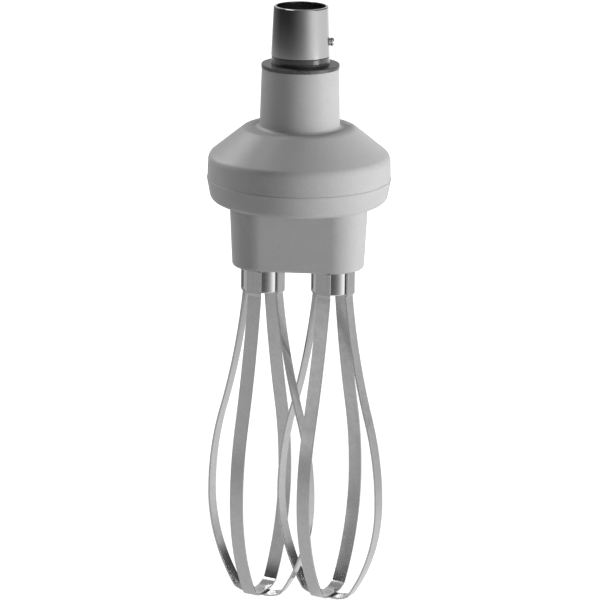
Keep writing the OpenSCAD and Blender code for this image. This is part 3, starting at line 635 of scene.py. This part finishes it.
def hub_mesh():
    """Hub with four flats, a collar above it, and a shank with a ring groove and a square end."""
    edge, flat_edge, collar_r = 0.5, 0.3, 5.5
    rings = [hub_level(HUB_R - edge, HUB_BOTTOM, HUB_FLAT - flat_edge)]
    for a in (18, 36, 54, 72, 90):
        out, up = math.sin(math.radians(a)), math.cos(math.radians(a))
        rings.append(hub_level(HUB_R - edge + edge * out, HUB_BOTTOM + edge - edge * up,
                               HUB_FLAT - flat_edge + flat_edge * out))
    for z in (-157, -154.5, -152, -149.5):
        rings.append(hub_level(HUB_R, z, HUB_FLAT))
    for r, z in arc((HUB_R - edge, HUB_TOP - edge), edge, 0, 90, 5):
        rings.append(hub_level(r, z, HUB_FLAT))
    collar_top = spindle_low.z - 0.3
    groove_z, groove_r = snap_ring_low.z - 0.05, SHANK_R - 0.7
    round_top = hub_high.z - SQUARE_LENGTH
    square_r = SHANK_R - 0.2
    groove_top = groove_z + 1.6
    rings += [hub_level(collar_r, HUB_TOP), hub_level(collar_r, collar_top),
              hub_level(SHANK_R, collar_top), hub_level(SHANK_R, groove_z),
              hub_level(groove_r, groove_z), hub_level(groove_r, groove_top),
              hub_level(SHANK_R, groove_top), hub_level(SHANK_R, round_top - 0.5),
              hub_level(SHANK_R - 0.15, round_top - 0.15), hub_level(SHANK_R - 0.5, round_top),
              hub_level(SHANK_R - 0.5, round_top, SHANK_SQUARE),
              hub_level(square_r, round_top + 0.4, SHANK_SQUARE),
              hub_level(square_r, hub_high.z - 0.5, SHANK_SQUARE),
              hub_level(SHANK_R - 0.6, hub_high.z, SHANK_SQUARE - 0.35)]
    return stacked(rings)


# ---- Whisk loops ----

# Below its tab on the hub, each strip steps inwards in a joggle, and narrows over the taper's height
JOGGLE_TOP, JOGGLE_HEIGHT, JOGGLE_DEPTH, TAPER_HEIGHT = HUB_BOTTOM - 0.2, 1.8, 0.9, 1.6
LEG_TOP_Z = JOGGLE_TOP - JOGGLE_HEIGHT
TAB_R, TAB_TOP = HUB_FLAT + STRIP, outer_high.z
LEG_TOP_R = TAB_R - JOGGLE_DEPTH
BEND_R, BOTTOM_RISE, BOTTOM_LAND = 3.5, 2.6, STRIP_WIDTH / 2 + 0.4
EDGE_ROUND = 0.3


def eased(t):
    """Smooth way from 0 to 1."""
    return t * t * (3 - 2 * t)


def meeting(a, p, b, q):
    """Point at distance p from a and q from b, on the right of the way from a to b."""
    d = math.dist(a, b)
    ahead = (p * p - q * q + d * d) / (2 * d)
    aside = math.sqrt(p * p - ahead * ahead)
    return (a[0] + (ahead * (b[0] - a[0]) + aside * (b[1] - a[1])) / d,
            a[1] + (ahead * (b[1] - a[1]) - aside * (b[0] - a[0])) / d)


def direction(a, b):
    """Angle in degrees of the way from a to b."""
    return math.degrees(math.atan2(b[1] - a[1], b[0] - a[0]))


def leg_line(bottom_z, belly_r, belly_height, shoulder_r, lower_r, lean):
    """Outer line of half a loop in (r, z), from its top on the hub to the middle of its bottom."""
    belly_z = bottom_z + belly_height
    belly = (belly_r - shoulder_r, belly_z)
    across, down = LEG_TOP_R - belly[0], LEG_TOP_Z - belly_z
    tip = math.radians(lean)
    neck_r = (across ** 2 + down ** 2 - shoulder_r ** 2) / (
        2 * (shoulder_r - across * math.cos(tip) - down * math.sin(tip)))
    neck = (LEG_TOP_R + neck_r * math.cos(tip), LEG_TOP_Z + neck_r * math.sin(tip))
    tilt = direction(belly, neck)
    lower = (belly_r - lower_r, belly_z)
    corner_r = lower[0] + math.sqrt(lower_r ** 2 - (belly_height - BOTTOM_RISE) ** 2)
    floor_r = ((corner_r - BOTTOM_LAND) ** 2 + BOTTOM_RISE ** 2) / (2 * BOTTOM_RISE)
    floor = (BOTTOM_LAND, bottom_z + floor_r)
    corner = meeting(lower, lower_r - BEND_R, floor, floor_r - BEND_R)
    bend, foot = direction(lower, corner), direction(floor, corner)
    line = [(TAB_R, TAB_TOP), (TAB_R, TAB_TOP - 4), (TAB_R, TAB_TOP - 8), (TAB_R, JOGGLE_TOP + 0.5)]
    for k in range(7):
        line.append((TAB_R - JOGGLE_DEPTH * eased(k / 6), JOGGLE_TOP - JOGGLE_HEIGHT * k / 6))
    line += arc(neck, neck_r, 180 + lean, 180 + tilt, 22)[1:]
    line += arc(belly, shoulder_r, tilt, 0, 26)[1:]
    line += arc(lower, lower_r, 0, bend, 26)[1:]
    line += arc(corner, BEND_R, bend, foot, 8)[1:]
    line += arc(floor, floor_r, foot, -90, 10)[1:]
    line += [(BOTTOM_LAND * (1 - k / 4), bottom_z) for k in range(1, 5)]
    return line


def section(width):
    """Rolled strip's section: (across, depth) with depth 0 on the outer face."""
    half = width / 2
    return rounded([(-half, 0, EDGE_ROUND), (half, 0, EDGE_ROUND),
                    (half, -STRIP, EDGE_ROUND), (-half, -STRIP, EDGE_ROUND)], 30)


def loop_mesh(line):
    """Strip bent along half a loop's line and back, wider at its tabs, with its edges in slot 1."""
    full = line + [(-r, z) for r, z in reversed(line[:-1])]
    n = len(full)
    levels = []
    for i, (r, z) in enumerate(full):
        a, b = full[max(i - 1, 0)], full[min(i + 1, n - 1)]
        along = Vector((b[0] - a[0], b[1] - a[1])).normalized()
        out = Vector((-along.y, along.x))
        t = max(0.0, min(1.0, (JOGGLE_TOP - z) / TAPER_HEIGHT))
        width = TAB_WIDTH + (STRIP_WIDTH - TAB_WIDTH) * eased(t)
        levels.append([(r + out.x * depth, across, z + out.y * depth) for across, depth in section(width)])
    bm = stacked(levels)
    sides = section(TAB_WIDTH)
    on_edge = [min(abs(a[0]), abs(b[0])) > TAB_WIDTH / 2 - EDGE_ROUND - 0.01
               for a, b in zip(sides, sides[1:] + sides[:1])]
    for i, face in enumerate(bm.faces):
        if len(face.verts) == 4 and on_edge[i % len(sides)]:
            face.material_index = 1
    return bm


def weld_mark(top_z):
    """Raised rim of the spot weld, on the face at top_z where the two loops cross."""
    return revolved([(0, top_z - 0.4), (1.9, top_z - 0.4), (1.9, top_z + 0.02), (1.6, top_z + 0.14),
                     (1.2, top_z + 0.14), (0.8, top_z - 0.05), (0, top_z - 0.05)], 48)


def spin(side, extra=0.0):
    """Place of a whisk's piece: on its spindle's axis, turned as the whisk is and by extra degrees."""
    turn = Matrix.Rotation(WHISK_TURN[side] + math.radians(extra), 4, "Z")
    return Matrix.Translation((side * half_spacing, 0, 0)) @ turn


bottom = outer_low.z
outer_line = leg_line(bottom, belly_r=31.9, belly_height=58.5, shoulder_r=180, lower_r=100, lean=6)
inner_line = leg_line(bottom + STRIP, belly_r=31.5, belly_height=64.8 - STRIP, shoulder_r=160, lower_r=112,
                      lean=8)
whisk_pieces = []
for side, word in ((-1, "left"), (1, "right")):
    hub = finish_mesh(word + "_hub", hub_mesh(), place=spin(side))
    outer = finish_mesh(word + "_outer_strip", loop_mesh(outer_line), place=spin(side))
    welded = together([loop_mesh(inner_line), weld_mark(bottom + 2 * STRIP)])
    inner = finish_mesh(word + "_inner_strip", welded, place=spin(side, 90))
    whisk_pieces.append((word, hub, outer, inner))

# ---- Belonging ----


def painted(piece, *materials):
    piece.data.materials.clear()
    for material in materials:
        piece.data.materials.append(material)


stood_for = set()


def belongs(piece, body, node, slot, *materials):
    """Lets a piece stand for a CAD node on its body."""
    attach(piece, body)
    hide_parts(node)
    painted(piece, *materials)
    stood_for.add(node)


belongs(sleeve, "housing", "coupling_sleeve", "satin_steel", satin_steel)
belongs(pin, "housing", "bayonet_pin", "polished_steel", polished_steel)
belongs(seal, "housing", "seal_ring", "black_rubber", black_rubber)
belongs(collar, "housing", "retaining_collar", "dark_steel", collar_steel)
belongs(upper, "housing", "upper_housing", "housing_grey", housing_grey)
belongs(lower, "housing", "lower_housing", "housing_grey", housing_grey)
for word, hub, outer, inner in whisk_pieces:
    belongs(hub, word + "_whisk", word + "_whisk_hub", "polished_steel", polished_steel)
    belongs(outer, word + "_whisk", word + "_outer_loop", "strip_steel", strip_metal, strip_edge)
    belongs(inner, word + "_whisk", word + "_inner_loop", "strip_steel", strip_metal, strip_edge)

# The other CAD nodes keep their own meshes. The first of these words in a node's name gives its material
by_word = (("gasket", black_rubber), ("shaft_seal", black_rubber), ("bush", bush_bronze),
           ("gear_plate", satin_steel), ("gear", gear_steel), ("pinion", gear_steel), ("wheel", gear_steel),
           ("coupling", collar_steel), ("circlip", collar_steel), ("snap_ring", collar_steel),
           ("bearing", polished_steel), ("screws", polished_steel))
for name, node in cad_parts.items():
    if name not in stood_for:
        painted(node, next((m for word, m in by_word if word in name), satin_steel))

# ---- Floor, light and camera ----

AZIMUTH, ELEVATION, ROLL = math.radians(4.64), math.radians(15.95), math.radians(0.73)
CAMERA_DISTANCE, LENS, SENSOR = 1.488, 160.42, 36
# Level of the plain light from all round
AMBIENT = 0.14
# Reflections see a brighter floor on the side that lies this far round to the right of the camera
BRIGHT_SIDE = math.radians(110)


def node_of(tree, kind, inputs, out=0, **settings):
    """An output of a new node, with its inputs linked or set in order. None leaves an input as it is."""
    node = tree.nodes.new(kind)
    for key, value in settings.items():
        setattr(node, key, value)
    for socket, value in zip(node.inputs, inputs):
        if value is None:
            continue
        if isinstance(value, bpy.types.NodeSocket):
            tree.links.new(value, socket)
        else:
            socket.default_value = value
    return node.outputs[out]


def to_the_light(tree, vector):
    """0 for a place or direction on the dark side of the object, 1 for the bright side."""
    flat = node_of(tree, "ShaderNodeVectorMath", (vector, (1, 1, 0)), operation="MULTIPLY")
    flat = node_of(tree, "ShaderNodeVectorMath", (flat,), operation="NORMALIZE")
    angle = AZIMUTH + BRIGHT_SIDE
    bright = (math.sin(angle), -math.cos(angle), 0)
    facing = node_of(tree, "ShaderNodeVectorMath", (flat, bright), 1, operation="DOT_PRODUCT")
    return node_of(tree, "ShaderNodeMapRange", (facing, -1, 1, 0, 1))


def graded(tree, value, stops):
    """Grey level that follows (place, level) stops."""
    ramp = tree.nodes.new("ShaderNodeValToRGB")
    points = ramp.color_ramp.elements
    while len(points) < len(stops):
        points.new(1)
    for point, (place_on, level) in zip(points, stops):
        point.position = place_on
        point.color = (level, level, level, 1)
    tree.links.new(value, ramp.inputs[0])
    return node_of(tree, "ShaderNodeRGBToBW", (ramp.outputs[0],))


def mapped(tree, value, from_low, from_high, low, high, **settings):
    return node_of(tree, "ShaderNodeMapRange", (value, from_low, from_high, low, high), **settings)


def times_plus(tree, a, b, c):
    return node_of(tree, "ShaderNodeMath", (a, b, c), operation="MULTIPLY_ADD")


# The floor leaves room under the whisks, which hang from the housing, for them to be pulled off
FLOOR_HEIGHT = CAD_BOX[0][2] - 0.02
FLOOR_PAINT = 0.8
bm = bmesh.new()
bmesh.ops.create_grid(bm, x_segments=8, y_segments=8, size=9)
mesh = bpy.data.meshes.new("floor")
bm.to_mesh(mesh)
bm.free()
floor = bpy.data.objects.new("floor", mesh)
bpy.context.scene.collection.objects.link(floor)
floor.location = (0, 3, FLOOR_HEIGHT)
material = bpy.data.materials.new("floor")
material.use_nodes = True
tree = material.node_tree
tree.nodes.clear()
path = tree.nodes.new("ShaderNodeLightPath")
position = tree.nodes.new("ShaderNodeNewGeometry").outputs["Position"]
flat = node_of(tree, "ShaderNodeVectorMath", (position, (1, 1, 0)), operation="MULTIPLY")
distance = node_of(tree, "ShaderNodeVectorMath", (flat,), 1, operation="LENGTH")

# The floor takes the object's shadow, and the camera sees it turn to white further out
paint = node_of(tree, "ShaderNodeMix", (path.outputs["Is Glossy Ray"], None, FLOOR_PAINT, 0.0))
matt = node_of(tree, "ShaderNodeBsdfDiffuse", (paint,))
pale = mapped(tree, distance, 0.1, 1.35, 0.56, 1.0, interpolation_type="SMOOTHSTEP")
# Reflections see it glow, more on the bright side and near the object
lit = graded(tree, to_the_light(tree, position), [(0, 0), (0.25, 0), (0.5, 0.5), (0.7, 1), (1, 1)])
dark_floor = mapped(tree, distance, 0.1, 0.6, 0.61, 0.43)
bright_floor = mapped(tree, distance, 0.16, 0.42, 0.87, 0.65)
mirrored = node_of(tree, "ShaderNodeMix", (lit, None, dark_floor, bright_floor))
glow = node_of(tree, "ShaderNodeMath", (path.outputs["Is Camera Ray"], pale), operation="MULTIPLY")
glow = times_plus(tree, path.outputs["Is Glossy Ray"], mirrored, glow)
glow = times_plus(tree, path.outputs["Is Transmission Ray"], pale, glow)
glow = node_of(tree, "ShaderNodeEmission", ((1, 1, 1, 1), glow))
both = node_of(tree, "ShaderNodeAddShader", (matt, glow))
tree.links.new(both, tree.nodes.new("ShaderNodeOutputMaterial").inputs["Surface"])
mesh.materials.append(material)

world = bpy.data.worlds.new("studio")
bpy.context.scene.world = world
world.use_nodes = True
tree = world.node_tree
background = tree.nodes["Background"]
background.inputs["Color"].default_value = (1, 1, 1, 1)

path = tree.nodes.new("ShaderNodeLightPath")
sky = tree.nodes.new("ShaderNodeTexCoord").outputs["Generated"]
split = tree.nodes.new("ShaderNodeSeparateXYZ")
tree.links.new(sky, split.inputs[0])
upwards, backwards, sideways = split.outputs["Z"], split.outputs["Y"], to_the_light(tree, sky)

# Reflections see a grey wall on the dark side and little on the bright side, above the bright floor
bright_side_wall = graded(tree, upwards, [(0, 0.25), (0.04, 0.12), (0.1, 0.07), (1, 0.06)])
dark_side_wall = graded(tree, upwards, [(0, 0.48), (0.45, 0.5), (0.51, 0.4), (0.55, 0.06), (1, 0.04)])
side = graded(tree, sideways, [(0, 0), (0.15, 0), (0.4, 0.4), (0.62, 0.95), (1, 1)])
reflected = node_of(tree, "ShaderNodeMix", (side, None, dark_side_wall, bright_side_wall))
# They also see a pale backdrop behind the object, a grey ceiling, and a low pale patch at the left
backdrop = graded(tree, backwards, [(0, 0), (0.75, 0), (0.92, 0.6), (1, 0.7)])
reflected = node_of(tree, "ShaderNodeMath", (reflected, backdrop), operation="ADD")
ceiling = graded(tree, upwards, [(0, 0), (0.45, 0), (0.62, 0.3), (1, 0.3)])
over_the_object = graded(tree, backwards, [(0, 0), (0.05, 0), (0.2, 1), (1, 1)])
reflected = times_plus(tree, ceiling, over_the_object, reflected)
low = graded(tree, upwards, [(0, 0.24), (0.13, 0.24), (0.17, 0), (1, 0)])
at_the_left = graded(tree, sideways, [(0, 1), (0.016, 1), (0.023, 0), (1, 0)])
reflected = times_plus(tree, low, at_the_left, reflected)

# The camera sees plain white, and all but reflections see the plain light from all round
level = node_of(tree, "ShaderNodeMix", (path.outputs["Is Glossy Ray"], None, AMBIENT, reflected))
seen = node_of(tree, "ShaderNodeMath",
               (path.outputs["Is Camera Ray"], path.outputs["Is Transmission Ray"]), operation="MAXIMUM")
level = node_of(tree, "ShaderNodeMix", (seen, None, level, 1.0))
tree.links.new(level, background.inputs["Strength"])

# The camera looks along the photograph's direction
target = Vector((1.356, 0, -165.2)) * MM
back = Vector((math.sin(AZIMUTH) * math.cos(ELEVATION), -math.cos(AZIMUTH) * math.cos(ELEVATION),
               math.sin(ELEVATION)))
right = Vector((math.cos(AZIMUTH), math.sin(AZIMUTH), 0))
up = back.cross(right)
side_axis = math.cos(ROLL) * right + math.sin(ROLL) * up
up_axis = math.cos(ROLL) * up - math.sin(ROLL) * right
place = target + back * CAMERA_DISTANCE
camera_data = bpy.data.cameras.new("camera")
camera_data.lens = LENS
camera_data.sensor_width = SENSOR
camera_data.clip_end = 100
camera = bpy.data.objects.new("camera", camera_data)
bpy.context.scene.collection.objects.link(camera)
camera.matrix_world = Matrix((
    (side_axis.x, up_axis.x, back.x, place.x),
    (side_axis.y, up_axis.y, back.y, place.y),
    (side_axis.z, up_axis.z, back.z, place.z),
    (0, 0, 0, 1)))
bpy.context.scene.camera = camera


def around(degrees, distance, height):
    """A point at an angle to the right of the camera, seen from above, and at a height over the target."""
    a = AZIMUTH + math.radians(degrees)
    return target + Vector((distance * math.sin(a), -distance * math.cos(a), height))


def softbox(name, place, size, power):
    """Rectangular lamp that faces the object."""
    light = bpy.data.lights.new(name, "AREA")
    light.shape = "RECTANGLE"
    light.size, light.size_y = size
    light.energy = power
    lamp = bpy.data.objects.new(name, light)
    bpy.context.scene.collection.objects.link(lamp)
    lamp.location = place
    lamp.rotation_euler = (target - place).to_track_quat("-Z", "Y").to_euler()
    return lamp


# Soft lamps. The last one is only seen in reflections and adds no light of its own
softbox("key", around(72, 1.5, 0.05), (0.6, 0.6), 31).visible_glossy = False
softbox("fill", around(-75, 1.9, 0.4), (1.0, 1.2), 4).visible_glossy = False
softbox("top", target + Vector((0.1, 0.2, 1.5)), (0.9, 0.9), 2.8).visible_glossy = False
softbox("rim", around(-130, 1.4, 0.9), (0.5, 0.8), 12)
softbox("window", around(-120, 0.86, 1.45), (0.68, 0.95), 9.3).visible_diffuse = False


def ramp(value, stops):
    """Straight lines through (place, level) stops."""
    if value <= stops[0][0]:
        return stops[0][1]
    for (a, low), (b, high) in zip(stops, stops[1:]):
        if value <= b:
            return low + (high - low) * (value - a) / (b - a)
    return stops[-1][1]


def reflector(name, distance, sides, heights, around_stops, height_stops):
    """A curved card that only reflections show. One ramp along it and one up it make its glow."""
    bm = bmesh.new()
    columns, rows = 48, 16
    grid = []
    for i in range(rows + 1):
        z = heights[0] + (heights[1] - heights[0]) * i / rows
        grid.append([])
        for k in range(columns + 1):
            angle = sides[0] + (sides[1] - sides[0]) * k / columns
            point = around(angle, distance, 0)
            a, b = ramp(angle, around_stops), ramp(z, height_stops)
            grid[-1].append((bm.verts.new((point.x, point.y, z)), a + b * max(0.0, 1 - a)))
    for i in range(rows):
        for k in range(columns):
            bm.faces.new((grid[i][k][0], grid[i][k + 1][0], grid[i + 1][k + 1][0], grid[i + 1][k][0]))
    mesh = bpy.data.meshes.new(name)
    bm.verts.index_update()
    bm.to_mesh(mesh)
    bm.free()
    glow = mesh.attributes.new("glow", "FLOAT", "POINT")
    glow.data.foreach_set("value", [level for row in grid for _, level in row])
    card = bpy.data.objects.new(name, mesh)
    bpy.context.scene.collection.objects.link(card)
    paper = bpy.data.materials.new(name)
    paper.use_nodes = True
    tree = paper.node_tree
    tree.nodes.clear()
    level = tree.nodes.new("ShaderNodeAttribute")
    level.attribute_name = "glow"
    emission = node_of(tree, "ShaderNodeEmission", ((1, 1, 1, 1), level.outputs["Fac"]))
    tree.links.new(emission, tree.nodes.new("ShaderNodeOutputMaterial").inputs["Surface"])
    mesh.materials.append(paper)
    card.visible_camera = False
    card.visible_diffuse = False
    card.visible_shadow = False
    card.visible_transmission = False


# Cards round the coupling tube, beside it, round the hubs, and beside the seal ring
reflector("card_tube", 0.14, (-165, 60), (-0.07, 0.2),
          [(-165, 0.7), (-150, 0.3), (-135, 0.13), (-110, 0.08), (-90, 0.03), (-45, 0.03), (-28, 0.06),
           (-12, 0.12), (4, 0.21), (18, 0.37), (32, 0.66), (46, 0.92), (60, 1.02)],
          [(-0.07, 0.45), (-0.05, 0.4), (-0.044, 0.34), (-0.04, 0.24), (-0.036, 0.06), (-0.032, 0)])
reflector("card_side", 0.141, (60, 165), (-0.07, 0.0),
          [(60, 1.02), (110, 0.93), (130, 0.9), (150, 1.2), (165, 1.6)],
          [(-0.07, 0), (0, 0)])
reflector("card_hub", 0.3, (-20, 108), (-0.262, -0.2),
          [(-20, 0.05), (-5, 0.08), (10, 0.1), (25, 0.2), (38, 0.36), (48, 0.62), (62, 1.1), (86, 1.3),
           (98, 0.9), (108, 0.3)],
          [(-0.262, 0), (-0.2, 0)])
reflector("card_seal", 0.139, (44, 80), (-0.064, -0.05),
          [(44, 0), (58, 6), (68, 6), (80, 0)],
          [(-0.064, 0), (-0.05, 0)])

bpy.context.scene.view_settings.view_transform = "Standard"
